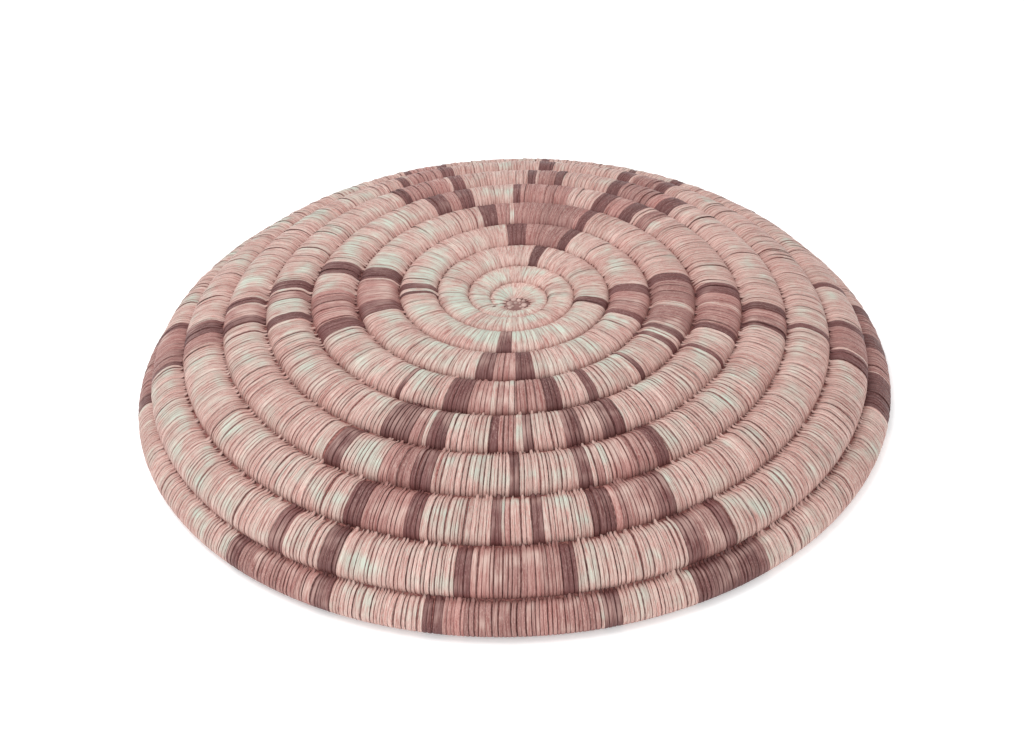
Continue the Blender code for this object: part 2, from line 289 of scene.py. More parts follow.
class Dome:
    """The surface of the coil's centre line. Arc is the length along it from the middle outwards."""

    def __init__(self):
        self.turns = np.linspace(START_TURN, END_TURN, SURFACE_STEPS)
        start = KNOT_RADIUS + ROUND_GAP + START_WIDTH / 2
        self.turn_arcs = start + running_sum(sewn_width(self.turns), self.turns)
        self.arcs = np.linspace(0, self.turn_arcs[-1] + FULL_WIDTH, SURFACE_STEPS)
        slopes = self.slope(self.arcs)
        self.radii = running_sum(np.cos(slopes), self.arcs)
        heights = -running_sum(np.sin(slopes), self.arcs)
        self.heights = heights - np.interp(start, self.arcs, heights)
        self.radii += start - np.interp(start, self.arcs, self.radii)
        self.turn, self.shift = np.eye(3), np.zeros(3)
        self.settle()

    def slope(self, arc):
        """Downward slope of the surface at an arc."""
        share = arc / self.turn_arcs[-1]
        dimple = 2 * DIMPLE_DEPTH * arc / DIMPLE_RADIUS ** 2 * np.exp(-(arc / DIMPLE_RADIUS) ** 2)
        return DOME_SLOPE * share ** DOME_POWER + RIM_ROLL * share ** RIM_ROLL_POWER - np.arctan(dimple)

    def arc_at(self, turn):
        """Arc of the coil's centre line."""
        return np.interp(turn, self.turns, self.turn_arcs) - (sewn_width(turn) - coil_width(turn)) / 2

    def place(self, arc, turn, up=0.0):
        """Points at an arc, in the direction of a turn, raised square to the surface."""
        slope = self.slope(arc)
        radius = np.interp(arc, self.arcs, self.radii) + up * np.sin(slope)
        height = np.interp(arc, self.arcs, self.heights) + up * np.cos(slope)
        angle = turn * math.tau
        points = np.stack([-radius * np.cos(angle), radius * np.sin(angle), height], -1)
        return points @ self.turn.T + self.shift

    def settle(self):
        """Levels the rim and puts the origin under the middle, as the solids do."""
        grid = np.arange(round(START_TURN * POINTS_PER_TURN), round(END_TURN * POINTS_PER_TURN) + 1)
        grid = grid / POINTS_PER_TURN
        arc, width = self.arc_at(grid), coil_width(grid)
        bend = self.slope(arc + width / 2) - self.slope(arc - width / 2)
        half = (width * (1 + GROOVE_HEIGHT_SHARE * bend) - ROUND_GAP) / 2
        slope = self.slope(arc)
        centre = self.place(arc, grid)
        outward = np.stack([-np.cos(grid * math.tau), np.sin(grid * math.tau), 0 * grid], -1)
        upright = np.array([0, 0, 1.0])
        across = outward * np.cos(slope)[:, None] - upright * np.sin(slope)[:, None]
        above = outward * np.sin(slope)[:, None] + upright * np.cos(slope)[:, None]
        right = [
            (CROWN_SHARE, -SOLID_THICKNESS_SHARE),
            (WAIST_SHARE, -2 * WAIST_DROP_SHARE),
            (1, 2 * GROOVE_HEIGHT_SHARE),
            (CROWN_SHARE, SOLID_THICKNESS_SHARE),
        ]
        section = right + [(-side, up) for side, up in right]
        corners = np.array([centre + half[:, None] * (across * side + above * up) for side, up in section])
        low = centre.copy()
        low[:, 2] = corners[..., 2].min(axis=0)
        self.turn = rotation_to_up(standing_normal(low[grid >= END_TAPER_TURN - 1]))
        corners = corners.reshape(-1, 3) @ self.turn.T
        lowest, highest = corners.min(axis=0), corners.max(axis=0)
        middle = (lowest + highest) / 2
        foot_cut = FOOT_CUT_SHARE * coil_width(END_TAPER_TURN)
        self.shift = -np.array([middle[0], middle[1], lowest[2] + foot_cut])


def standing_normal(low):
    """Normal of the plane on which low points stand, with the upright axis between its three."""
    best, found = -math.inf, None
    for chosen in itertools.combinations(range(len(low)), 3):
        corners = low[list(chosen)]
        ends = np.roll(corners, -1, axis=0)
        steps = ends - corners
        sides = steps[:, 1] * corners[:, 0] - steps[:, 0] * corners[:, 1] > 0
        if sides.any() and not sides.all():
            continue
        normal = np.cross(corners[1] - corners[0], corners[2] - corners[0])
        normal *= math.copysign(1, normal[2]) / np.linalg.norm(normal)
        least = ((np.delete(low, chosen, axis=0) - corners[0]) @ normal).min()
        if least > best:
            best, found = least, normal
    return found


def rotation_to_up(normal):
    """Shortest rotation that brings a normal upright."""
    axis = np.cross(normal, [0, 0, 1.0])
    sine = np.linalg.norm(axis)
    axis = axis / sine
    cross = np.array([[0, -axis[2], axis[1]], [axis[2], 0, -axis[0]], [-axis[1], axis[0], 0]])
    return np.eye(3) + sine * cross + (1 - normal[2]) * cross @ cross


dome = Dome()
random = np.random.default_rng(SEED)


def dye_runs():
    """Start, end and kind of every dyed run."""
    found = []
    for line in DYE_RUNS:
        words = line.split()
        for number in range(0, len(words) - 2, 2):
            found.append((float(words[number]), float(words[number + 2]), words[number + 1]))
    return found


def dye_of(first, last, runs):
    """The dyed kind that covers most of a stretch, if it covers enough of it, or else natural."""
    shares = {"N": NATURAL_LIMIT_SHARE * (last - first), "R": 0.0, "D": 0.0}
    for start, end, kind in runs:
        if kind != "N":
            shares[kind] += max(min(end, last) - max(start, first), 0)
    return max(shares, key=shares.get)


def linear(red, green, blue):
    """Linear colour of screen values from 0 to 255."""
    value = np.array([red, green, blue]) / 255
    return np.where(value <= 0.04045, value / 12.92, ((value + 0.055) / 1.055) ** 2.4)


def early_share(turns):
    """1 at the coil's start, fading out over the first rounds."""
    return np.exp(-np.maximum(turns - START_TURN, 0) / START_FLATNESS_TURNS)


def section_power(turns):
    """How square the coil's outline is. The first rounds have flat tops."""
    return SECTION_POWER + START_POWER_GAIN * early_share(turns)


def section_rise(share, power):
    """Height of the coil's outline over its middle, for a place across it from -1 to 1."""
    return np.clip(1 - np.abs(share) ** power, 0, 1) ** (1 / power)


def bezier(start, lean, pull, end, share):
    """Points of a cubic curve, for shares of shape (points, 1)."""
    rest = 1 - share
    return (
        rest ** 3 * start
        + 3 * rest ** 2 * share * lean
        + 3 * rest * share ** 2 * pull
        + share ** 3 * end
    )


def coil_rise(turns):
    """Half the thickness of the sewn coil. The first rounds are flatter."""
    return THICKNESS_SHARE * coil_width(turns) / 2 * (1 - START_FLATNESS * early_share(turns))


def knot_edge_arc(turns):
    """Distance from the axis to the knot's edge, in the direction of each turn."""
    ahead = np.stack([-np.cos(turns * math.tau), np.sin(turns * math.tau)], -1)
    half_sizes, middle = np.array(KNOT_HALF_SIZES), np.array(KNOT_PLACE)
    square = ((ahead / half_sizes) ** 2).sum(-1)
    linear_part = (ahead * middle / half_sizes ** 2).sum(-1)
    rest = ((middle / half_sizes) ** 2).sum() - 1
    return (linear_part + np.sqrt(linear_part ** 2 - square * rest)) / square


def first_profiles(turns, side):
    """Profiles of the first round's stitches, which slope down to the knot."""
    centre, width, rise = dome.arc_at(turns), coil_width(turns), coil_rise(turns)
    reach = np.maximum(centre - width / 2 - knot_edge_arc(turns), 0)
    tip_arc = centre - width / 2 - reach * smooth_step((KNOT_EDGE_END_TURN - turns) / KNOT_EDGE_FADE_TURNS)
    half_points = (TIP_POINTS + TOP_POINTS) // 2
    share = np.linspace(0, 1, half_points + 1)[:-1]
    inner_arcs = tip_arc[:, None] + (centre - tip_arc)[:, None] * share
    edge_rise = KNOT_EDGE_RISE_SHARE * rise
    inner_ups = edge_rise[:, None] + (rise - edge_rise)[:, None] * np.sin(math.pi / 2 * share)
    angle = np.linspace(math.pi / 2, 0, TIP_POINTS + TOP_POINTS - half_points)
    power = section_power(turns)[:, None]
    outer_arcs = centre[:, None] + width[:, None] / 2 * np.abs(np.cos(angle)) ** (2 / power)
    outer_ups = rise[:, None] * np.abs(np.sin(angle)) ** (2 / power)
    arcs = np.concatenate([inner_arcs, outer_arcs], 1)
    ups = side * np.concatenate([inner_ups, outer_ups], 1)
    return np.stack([arcs, ups], -1)


def stitch_profiles(turns, bites, lifts):
    """Arc and height of each stitch from its tip in the round before, over the coil and back under it.

    The result has the shape (stitches, points, 2).
    """
    centre, width, rise = dome.arc_at(turns), coil_width(turns), coil_rise(turns)
    before_centre, before_width = dome.arc_at(turns - 1), coil_width(turns - 1)
    edge = centre - width / 2
    tip_arc = edge - bites * width
    place = (tip_arc - before_centre) / (before_width / 2)
    rise_there = section_rise(place, section_power(turns - 1)) * coil_rise(turns - 1)
    tip_up = rise_there - TIP_DEPTH_SHARE * width
    power = section_power(turns)[:, None]
    angle_join = np.arccos(JOIN_SHARE ** (power / 2))
    in_first_round = (turns < START_TURN + 1)[:, None, None]
    profiles = []
    for side in (1, -1):
        angle = (math.pi - angle_join) * np.linspace(1, 0, TOP_POINTS)
        across = np.sign(np.cos(angle)) * np.abs(np.cos(angle)) ** (2 / power)
        up = np.abs(np.sin(angle)) ** (2 / power)
        arcs = centre[:, None] + width[:, None] / 2 * across
        ups = side * rise[:, None] * up * (1 + (lifts[:, None] if side > 0 else 0))
        body = np.stack([arcs, ups], -1)
        start = np.stack([tip_arc, side * tip_up], -1)[:, None]
        end = body[:, :1]
        step = body[:, 1:2] - end
        step = step / np.linalg.norm(step, axis=-1, keepdims=True)
        lean = start + np.stack([(edge - tip_arc) * TIP_LEAN_SHARE, 0 * edge], -1)[:, None]
        pull = end - step * (width * JOIN_PULL_SHARE)[:, None, None]
        share = np.linspace(0, 1, TIP_POINTS + 1)[:-1, None]
        line = np.concatenate([bezier(start, lean, pull, end, share), body], 1)
        line = np.where(in_first_round, first_profiles(turns, side), line)
        profiles.append(line if side > 0 else line[:, ::-1][:, 1:])
    return np.concatenate(profiles, 1)


def profile_normals(profiles):
    """Outward normals of profiles, in arc and height."""
    tangents = np.gradient(profiles, axis=1)
    tangents /= np.linalg.norm(tangents, axis=-1, keepdims=True)
    return np.stack([-tangents[..., 1], tangents[..., 0]], -1)


def side_share(turns, side):
    """1 where a turn points to a side, given in turns from the left, and 0 beyond square to it."""
    return np.clip(np.cos((turns - side) * math.tau), 0, 1)


def grown_share(turns):
    """0 at the coil's start to 1 where its stitches lie as boldly as they get."""
    return smooth_step((turns - START_TURN) / (FULL_LINE_TURN - START_TURN))


def line_share(turns):
    """How deep the lines between stitches are, and how dark their painted shade is: finest in the first
    rounds, clearest in front, where the key light falls across them.
    """
    calm = 1 - SIDE_CALM * (1 - side_share(turns, CLEAREST_TURN))
    return (START_LINE_SHARE + (1 - START_LINE_SHARE) * grown_share(turns)) * calm


def stitch_bounds(first, last):
    """Places between the stitches of a stretch, in turns."""
    fine = np.linspace(first, last, BOUND_STEPS)
    radius = np.interp(dome.arc_at(fine), dome.arcs, dome.radii)
    pitch = STITCH_PITCH + START_PITCH_GAIN * np.exp(-(fine - START_TURN) / START_PITCH_TURNS)
    counts = running_sum(math.tau * radius / pitch, fine)
    number = max(1, round(counts[-1]))
    steps = np.exp(random.normal(0, WIDTH_SPREAD, number))
    places = np.concatenate([[0], np.cumsum(steps)]) / steps.sum() * counts[-1]
    return np.interp(places, counts, fine)


def drifting(number, spread):
    """Random values that change little from one stitch to the next."""
    values = random.normal(0, spread, number + DRIFT_STITCHES - 1)
    smooth = np.convolve(values, np.ones(DRIFT_STITCHES) / DRIFT_STITCHES ** 0.5, "valid")
    return smooth + random.normal(0, DRIFT_JITTER_SHARE * spread, number)


def stitch_vertices(bounds):
    """Points of the stitches between the bounds, and how far along its stitch each row of points is.

    The shapes are (stitches, points, columns, 3) and (stitches, points). Far along goes from 0 to 1.
    """
    turns = (bounds[1:] + bounds[:-1]) / 2
    spans = np.diff(bounds)
    number = len(turns)
    bites = BITE_SHARE * np.clip(random.normal(1, BITE_SPREAD, number), *BITE_LIMITS)
    lifts = random.normal(0, LIFT_SPREAD, number)
    profiles = stitch_profiles(turns, bites, lifts)
    normals = profile_normals(profiles)
    steps = np.linalg.norm(np.diff(profiles, axis=1), axis=-1)
    runs = np.concatenate([np.zeros((number, 1)), np.cumsum(steps, 1)], 1)
    total = runs[:, -1:]
    from_tip = np.minimum(runs, total - runs)
    width = coil_width(turns)[:, None]
    radii = np.interp(profiles[..., 0], dome.arcs, dome.radii)
    middle_radii = np.interp(dome.arc_at(turns), dome.arcs, dome.radii)[:, None]
    grown = grown_share(turns)[:, None]
    fill = STITCH_FILL_SHARE * random.uniform(*FILL_SHARES, (number, 1))
    fill = (fill + START_FILL_GAIN * (1 - grown)) * (radii / middle_radii) ** FAN_POWER
    tip_share = smooth_step(from_tip / (TIP_LENGTH_SHARE * width))
    narrow = TIP_WIDTH_SHARE + (1 - TIP_WIDTH_SHARE) * tip_share
    half_turns = spans[:, None] / 2 * fill * narrow
    lean = drifting(number, LEAN_SPREAD)[:, None] * np.sin(math.tau * runs / total)
    lean = lean + drifting(number, SKEW_SPREAD)[:, None] * np.cos(math.pi * runs / total)
    lean = lean * spans[:, None] * (START_LEAN_SHARE + (1 - START_LEAN_SHARE) * grown)
    tilt = random.normal(0, TILT_SPREAD, number)[:, None, None]
    drop = EDGE_DROP * line_share(turns)[:, None, None] * COLUMN_DROPS + tilt * COLUMNS
    arcs = profiles[..., None, 0] - normals[..., None, 0] * drop
    ups = profiles[..., None, 1] - normals[..., None, 1] * drop
    places = turns[:, None, None] + lean[..., None] + half_turns[..., None] * COLUMNS
    vertices = dome.place(arcs, places, ups)
    vertices[..., 2] = np.maximum(vertices[..., 2], 0)
    return vertices, runs / total


def add_colour(data, name, values):
    """Adds a colour attribute: red, green and blue for each vertex."""
    full = np.ones((len(values), 4), dtype=np.float32)
    full[:, :3] = values
    data.attributes.new(name, "FLOAT_COLOR", "POINT").data.foreach_set("color", full.ravel())


def add_value(data, name, values):
    """Adds a number attribute: a value for each vertex."""
    full = values.astype(np.float32)
    data.attributes.new(name, "FLOAT", "POINT").data.foreach_set("value", full)


def make_stitches(name, first, last):
    """Mesh of the stitches of one stretch of coil."""
    bounds = stitch_bounds(first, last)
    vertices, far_along = stitch_vertices(bounds)
    number, points, columns = vertices.shape[:3]
    grid = np.arange(number * points * columns).reshape(number, points, columns)
    faces = np.stack([grid[:, :-1, :-1], grid[:, :-1, 1:], grid[:, 1:, 1:], grid[:, 1:, :-1]], -1)
    data = bpy.data.meshes.new(name)
    data.from_pydata(vertices.reshape(-1, 3).tolist(), [], faces.reshape(-1, 4)[:, ::-1].tolist())
    data.shade_smooth()
    uv = np.empty((number, points, columns, 2))
    uv[..., 0] = (COLUMNS + 1) / 2
    uv[..., 1] = far_along[..., None]
    loops = np.empty(len(data.loops), dtype=np.int64)
    data.loops.foreach_get("vertex_index", loops)
    layer = data.uv_layers.new(name="splint")
    layer.data.foreach_set("uv", uv.reshape(-1, 2)[loops].ravel())
    tones, lights, glows = splint_colours(bounds)
    identity = random.uniform(0, 1, number)
    line = line_share((bounds[1:] + bounds[:-1]) / 2) * random.uniform(*LINE_SHARES, number)
    add_colour(data, "tone", np.repeat(tones, points * columns, axis=0))
    add_colour(data, "light", np.repeat(lights, points * columns, axis=0))
    for label, values in (("stitch", identity), ("glow", glows), ("line", line)):
        add_value(data, label, np.repeat(values, points * columns))
    return data


RUNS = dye_runs()
# Screen colours of the splints, from 0 to 255: their own tone and their light fibres, which on the crest
# are partly painted highlight
MINT = linear(195, 204, 190)
NATURAL_PINK = linear(217, 187, 177)
NATURAL_TAN = linear(204, 169, 159)
RED_BROWN = linear(175, 133, 126)
RED_LIGHT = linear(208, 183, 172)
DARK_BROWN = linear(115, 75, 73)
DARK_LIGHT = linear(172, 142, 134)
# Painted shade: this dark colour darkens the lines between stitches, the grooves and the tucked tips; it
# also colours the knot's dark flecks
LINE_COLOUR = linear(66, 27, 26)
FIBRE_SHADE = linear(210, 172, 170)
# Grass colours: dark maroon, partly painted shade of the gaps between the stitches
GRASS_DARK = linear(118, 66, 62)
GRASS_LIGHT = linear(154, 102, 94)
KNOT_DEPTH_SHADE_COLOUR = linear(104, 44, 42)


def splint_colours(bounds):
    """Tone, light colour and glow of each stitch. One splint sews a few stitches running."""
    tones, lights, glows = [], [], []
    left, kind_before = 0, ""
    for first, last in zip(bounds[:-1], bounds[1:]):
        kind = dye_of(first, last, RUNS)
        if left <= 0 or kind != kind_before:
            left = random.integers(*SPLINT_STITCHES)
            mix = random.uniform(0, 1)
            glow = random.uniform(*(NATURAL_GLOWS if kind == "N" else DYED_GLOWS))
            front_glow = DYED_FRONT_GLOW * random.uniform(0, 1)
            if kind != "N":
                glow += front_glow * max(side_share(first, CLEAREST_TURN) - DYED_FRONT_SIDE_SHARE, 0)
        left -= 1
        kind_before = kind
        if kind == "N":
            tone = NATURAL_PINK * mix + NATURAL_TAN * (1 - mix)
            light = MINT
        elif kind == "R":
            tone = RED_BROWN * (RED_TONE_SHARES[0] + RED_TONE_SHARES[1] * mix)
            light = RED_LIGHT
        else:
            tone = DARK_BROWN * (DARK_TONE_SHARES[0] + DARK_TONE_SHARES[1] * mix)
            light = DARK_LIGHT
        vary = random.normal(1, TONE_SPREAD)
        tones.append(tone * vary)
        lights.append(light * vary)
        glows.append(glow + random.normal(0, GLOW_SPREAD))
    middles = (bounds[1:] + bounds[:-1]) / 2
    early = np.exp(-(middles - START_TURN) / START_GLOW_TURNS)
    extra = START_GLOW * early * (1 - START_GLOW_DIP * early * np.sin(middles * math.tau) ** 2)
    # Painted light on the left side; less light tone at the back
    extra += LEFT_PAINTED_LIGHT * side_share(middles, 0) - BACK_DIM * side_share(middles, BACK_DIM_TURN)
    return np.array(tones), np.array(lights), np.array(glows) + extra


class Shader:
    """A Principled material whose nodes are added one by one."""

    def __init__(self, name):
        self.material = bpy.data.materials.new(name)
        self.material.use_nodes = True
        self.tree = self.material.node_tree
        self.surface = self.tree.nodes["Principled BSDF"]

    def put(self, socket, value):
        """Links an output to an input, or sets the input's constant value."""
        if isinstance(value, bpy.types.NodeSocket):
            self.tree.links.new(value, socket)
        else:
            socket.default_value = value

    def attribute(self, name, output):
        """An attribute of the mesh."""
        made = self.tree.nodes.new("ShaderNodeAttribute")
        made.attribute_name = name
        return made.outputs[output]

    def math(self, operation, first, second=0.0):
        """One sum on two values."""
        made = self.tree.nodes.new("ShaderNodeMath")
        made.operation = operation
        self.put(made.inputs[0], first)
        self.put(made.inputs[1], second)
        return made.outputs[0]

    def ramp(self, value, low, high, to_low=0.0, to_high=1.0):
        """Smooth step of a value between two places."""
        made = self.tree.nodes.new("ShaderNodeMapRange")
        made.interpolation_type = "SMOOTHSTEP"
        for number, part in enumerate((value, low, high, to_low, to_high)):
            self.put(made.inputs[number], part)
        return made.outputs[0]

    def vector(self, across, along, up):
        """A vector from three values."""
        made = self.tree.nodes.new("ShaderNodeCombineXYZ")
        for socket, value in zip(made.inputs, (across, along, up)):
            self.put(socket, value)
        return made.outputs[0]

    def split(self, vector):
        """The three values of a vector."""
        made = self.tree.nodes.new("ShaderNodeSeparateXYZ")
        self.put(made.inputs[0], vector)
        return made.outputs

    def noise(self, vector, scale, detail, roughness=0.5):
        """Noise from 0 to 1, mostly round its middle."""
        made = self.tree.nodes.new("ShaderNodeTexNoise")
        self.put(made.inputs["Vector"], vector)
        self.put(made.inputs["Scale"], scale)
        self.put(made.inputs["Detail"], detail)
        self.put(made.inputs["Roughness"], roughness)
        return made.outputs["Fac"]

    def mix(self, share, first, second, blend="MIX"):
        """Mix of two colours."""
        made = self.tree.nodes.new("ShaderNodeMix")
        made.data_type = "RGBA"
        made.blend_type = blend
        self.put(made.inputs[0], share)
        for socket, colour in ((made.inputs[6], first), (made.inputs[7], second)):
            self.put(socket, colour if isinstance(colour, bpy.types.NodeSocket) else (*colour, 1))
        return made.outputs[2]

    def stretched(self, across, along, scales, offset):
        """A place on a splint for noise, scaled across and along, and elsewhere for each stitch."""
        return self.vector(
            self.math("ADD", self.math("MULTIPLY", across, scales[0]), offset),
            self.math("MULTIPLY", along, scales[1]),
            offset,
        )

    def place(self):
        """Place on the object."""
        return self.tree.nodes.new("ShaderNodeTexCoord").outputs["Object"]

    def bump(self, height, strength, distance):
        """Bumps on the surface."""
        made = self.tree.nodes.new("ShaderNodeBump")
        self.put(made.inputs["Height"], height)
        self.put(made.inputs["Strength"], strength)
        self.put(made.inputs["Distance"], distance)
        self.put(self.surface.inputs["Normal"], made.outputs[0])


# Looks of a splint: scales, noises, ramps and bumps in the order in which the Shader's functions take them
STITCH_OFFSET = 90.0
FIBRE_SCALES = (5.0, 5.0)
FIBRE_NOISE = (1.0, 3.0, 0.65)
FINE_SCALES = (13.0, 12.0)
FINE_NOISE = (1.0, 3.0, 0.7)
PATCH_NOISE = (85.0, 2.0, 0.55)
FLECK_SCALES = (9.0, 46.0)
FLECK_NOISE = (1.0, 2.0, 0.6)
LINE_WOBBLE_NOISE = (0.7, 1.0)
DASH_SCALES = (0.0, 22.0)
DASH_NOISE = (1.0, 1.0)
# The crest mask: the light tone shows mostly on the coil's crest, partly as painted highlight
CREST_RISE = (0.03, 0.15)
CREST_FALL = (0.27, 0.43, 1.0, 0.0)
OFF_CREST_SHARE = 0.15
PATCH_GAIN = 1.5
PATCH_SHIFT = -0.31
GLOW_GAIN = 0.22
FIBRE_GAIN = 0.5
FINE_GAIN = 0.35
LIGHT_RAMP = (0.84, 1.40)
# Painted highlight along a stitch's middle: the light tone fades towards its sides
LIGHT_SIDE_RAMP = (0.24, 0.44, 1.0, 0.4)
FLECK_RAMP = (0.5, 0.68, 0.0, 0.6)
LIGHT_UNSTREAKED_SHARE = 0.55
FIBRE_STAIN_RAMP = (0.55, 0.32, 0.0, 0.9)
FINE_STAIN_RAMP = (0.44, 0.62, 0.0, 0.8)
LINE_WOBBLE_GAIN = 0.06
# Painted shade in the lines between the stitches, with an uneven width, broken into dashes
EDGE_SHADE_RAMP = (0.335, 0.415)
DASH_RAMP = (0.35, 0.62, 0.65, 1.0)
# Painted shade with some dirt in the groove, and painted shade where the tips tuck under the round before
GROOVE_DIRT_AND_SHADE_RAMP = (0.385, 0.47, 0.0, 0.45)
TUCKED_SHADE_RAMP = (0.005, 0.05, 0.4, 0.0)
SPLINT_ROUGHNESS_RAMP = (0.3, 0.7, 0.62, 0.44)
SPLINT_SPECULAR = 0.35
FINE_BUMP_SHARE = 0.7
SPLINT_BUMP = (0.8, 0.00025)


def from_middle(shader, across):
    """Distance from the middle line of a splint, up to 0.5 at its edges."""
    return shader.math("ABSOLUTE", shader.math("SUBTRACT", across, 0.5))


def light_share(shader, across, along, offset, fibre, fine):
    """How much of its light tone a splint shows: patches and flecks on the coil's crest, partly painted
    highlight, brightest along each stitch's middle.
    """
    crest = shader.math("MULTIPLY", shader.ramp(along, *CREST_RISE), shader.ramp(along, *CREST_FALL))
    patch = shader.noise(shader.place(), *PATCH_NOISE)
    share = shader.math("ADD", shader.math("MULTIPLY", patch, PATCH_GAIN), PATCH_SHIFT)
    glow = shader.attribute("glow", "Fac")
    for value, gain in ((glow, GLOW_GAIN), (fibre, FIBRE_GAIN), (fine, FINE_GAIN)):
        share = shader.math("ADD", share, shader.math("MULTIPLY", value, gain))
    share = shader.ramp(share, *LIGHT_RAMP)
    on_crest = shader.math("MULTIPLY", crest, 1 - OFF_CREST_SHARE)
    share = shader.math("MULTIPLY", share, shader.math("ADD", on_crest, OFF_CREST_SHARE))
    side = shader.ramp(from_middle(shader, across), *LIGHT_SIDE_RAMP)
    share = shader.math("MULTIPLY", share, side)
    fleck = shader.noise(shader.stretched(across, along, FLECK_SCALES, offset), *FLECK_NOISE)
    fleck = shader.math("MULTIPLY", shader.ramp(fleck, *FLECK_RAMP), crest)
    return shader.math("MAXIMUM", share, fleck)


def splint_material(name):
    """Split stem: lengthwise fibres, light patches on the crest that are partly painted highlight, and
    painted shade on the edges, at the tucked tips and in the grooves, where there is some dirt too.
    """
    shader = Shader(name)
    spot = shader.tree.nodes.new("ShaderNodeUVMap")
    spot.uv_map = "splint"
    across, along, _ = shader.split(spot.outputs[0])
    offset = shader.math("MULTIPLY", shader.attribute("stitch", "Fac"), STITCH_OFFSET)
    fibre_place = shader.stretched(across, along, FIBRE_SCALES, offset)
    fibre = shader.noise(fibre_place, *FIBRE_NOISE)
    fine = shader.noise(shader.stretched(across, along, FINE_SCALES, offset), *FINE_NOISE)
    share = light_share(shader, across, along, offset, fibre, fine)
    colour = shader.mix(share, shader.attribute("tone", "Color"), shader.attribute("light", "Color"))
    # Fibre streaks fade where the light tone shows, which is partly painted highlight
    stain = shader.math("SUBTRACT", 1.0, shader.math("MULTIPLY", share, LIGHT_UNSTREAKED_SHARE))
    for noise, ramp in ((fibre, FIBRE_STAIN_RAMP), (fine, FINE_STAIN_RAMP)):
        streak = shader.math("MULTIPLY", shader.ramp(noise, *ramp), stain)
        colour = shader.mix(streak, colour, FIBRE_SHADE, "MULTIPLY")
    # Painted shade: dark lines along the stitches' edges, as strong as each stitch's line value
    line = shader.attribute("line", "Fac")
    line_wobble = shader.math("MULTIPLY", shader.noise(fibre_place, *LINE_WOBBLE_NOISE), LINE_WOBBLE_GAIN)
    edge = shader.ramp(shader.math("ADD", from_middle(shader, across), line_wobble), *EDGE_SHADE_RAMP)
    dash = shader.noise(shader.stretched(across, along, DASH_SCALES, offset), *DASH_NOISE)
    edge = shader.math("MULTIPLY", edge, shader.ramp(dash, *DASH_RAMP))
    # A darker band in the groove, painted shade with some dirt, and painted shade at the tucked tips
    groove_dirt_and_shade, tucked_shade = shader.ramp(along, *GROOVE_DIRT_AND_SHADE_RAMP), shader.ramp(along, *TUCKED_SHADE_RAMP)
    for dark in (edge, groove_dirt_and_shade, tucked_shade):
        colour = shader.mix(shader.math("MULTIPLY", dark, line), colour, LINE_COLOUR)
    shader.put(shader.surface.inputs["Base Color"], colour)
    shader.put(shader.surface.inputs["Roughness"], shader.ramp(fibre, *SPLINT_ROUGHNESS_RAMP))
    shader.put(shader.surface.inputs["Specular IOR Level"], SPLINT_SPECULAR)
    height = shader.math("ADD", fibre, shader.math("MULTIPLY", fine, FINE_BUMP_SHARE))
    shader.bump(height, *SPLINT_BUMP)
    return shader.material


def add_piece(name, data, material, node):
    """One named piece of the dressed plaque, in place of a node of the solids."""
    piece = bpy.data.objects.new(name, data)
    bpy.context.scene.collection.objects.link(piece)
    data.materials.append(material)
    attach(piece, "root")
    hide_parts(node)


def wrap_stretches():
    """Node name, first turn and last turn of each stretch."""
    found, turn, plain = [], START_TURN, "plain_wrap_start"
    for name, (first, last) in DYED_STRETCHES.items():
        found.append((plain, turn, first))
        found.append(("dyed_wrap_" + name, first, last))
        plain, turn = "plain_wrap_after_" + name, last
    found.append((plain, turn, END_TURN))
    return found


def add_stem(number, vertices, faces):
    """A cut stem that sticks out of the coil's tip, added to lists of vertices and faces."""
    angle = GOLDEN_ANGLE * number
    reach = STEM_REACH_SHARE * coil_width(END_TURN) / 2 * math.sqrt((number + 0.5) / TIP_STEMS)
    arc, up = dome.arc_at(END_TURN) + reach * math.cos(angle), THICKNESS_SHARE * reach * math.sin(angle)
    radius = np.interp(arc, dome.arcs, dome.radii)
    length = random.uniform(*STEM_LENGTHS)
    around = np.arange(STEM_SIDES) / STEM_SIDES * math.tau
    first = len(vertices)
    for step in (-STEM_LENGTHS[1], length):
        turn = np.full(STEM_SIDES, END_TURN + step / (math.tau * radius))
        ring = dome.place(arc + STEM_RADIUS * np.cos(around), turn, up + STEM_RADIUS * np.sin(around))
        vertices.extend(ring.tolist())
    for side in range(STEM_SIDES):
        after = (side + 1) % STEM_SIDES
        faces.append((first + side, first + after, first + STEM_SIDES + after, first + STEM_SIDES + side))
    faces.append(tuple(range(first, first + STEM_SIDES))[::-1])
    faces.append(tuple(range(first + STEM_SIDES, first + 2 * STEM_SIDES)))


def make_core():
    """The grass bundle with the bed of the stitches: one tube just under them."""
    turns = np.linspace(START_TURN, END_TURN, CORE_STEPS)
    profiles = stitch_profiles(turns, np.full(CORE_STEPS, BITE_SHARE), np.zeros(CORE_STEPS))
    profiles = profiles - CORE_CLEARANCE * profile_normals(profiles)
    vertices = dome.place(profiles[..., 0], turns[:, None], profiles[..., 1])
    vertices[..., 2] = np.maximum(vertices[..., 2], CORE_CLEARANCE)
    sides = profiles.shape[1]
    grid = np.arange(CORE_STEPS * sides).reshape(CORE_STEPS, sides)
    after = np.roll(grid, -1, axis=1)
    faces = np.stack([grid[:-1], grid[1:], after[1:], after[:-1]], -1).reshape(-1, 4).tolist()
    faces += [grid[0].tolist(), grid[-1][::-1].tolist()]
    vertices, faces = vertices.reshape(-1, 3).tolist(), list(map(tuple, faces))
    for number in range(TIP_STEMS):
        add_stem(number, vertices, faces)
    data = bpy.data.meshes.new("grass_core")
    data.from_pydata(vertices, [], faces)
    data.shade_smooth()
    return data


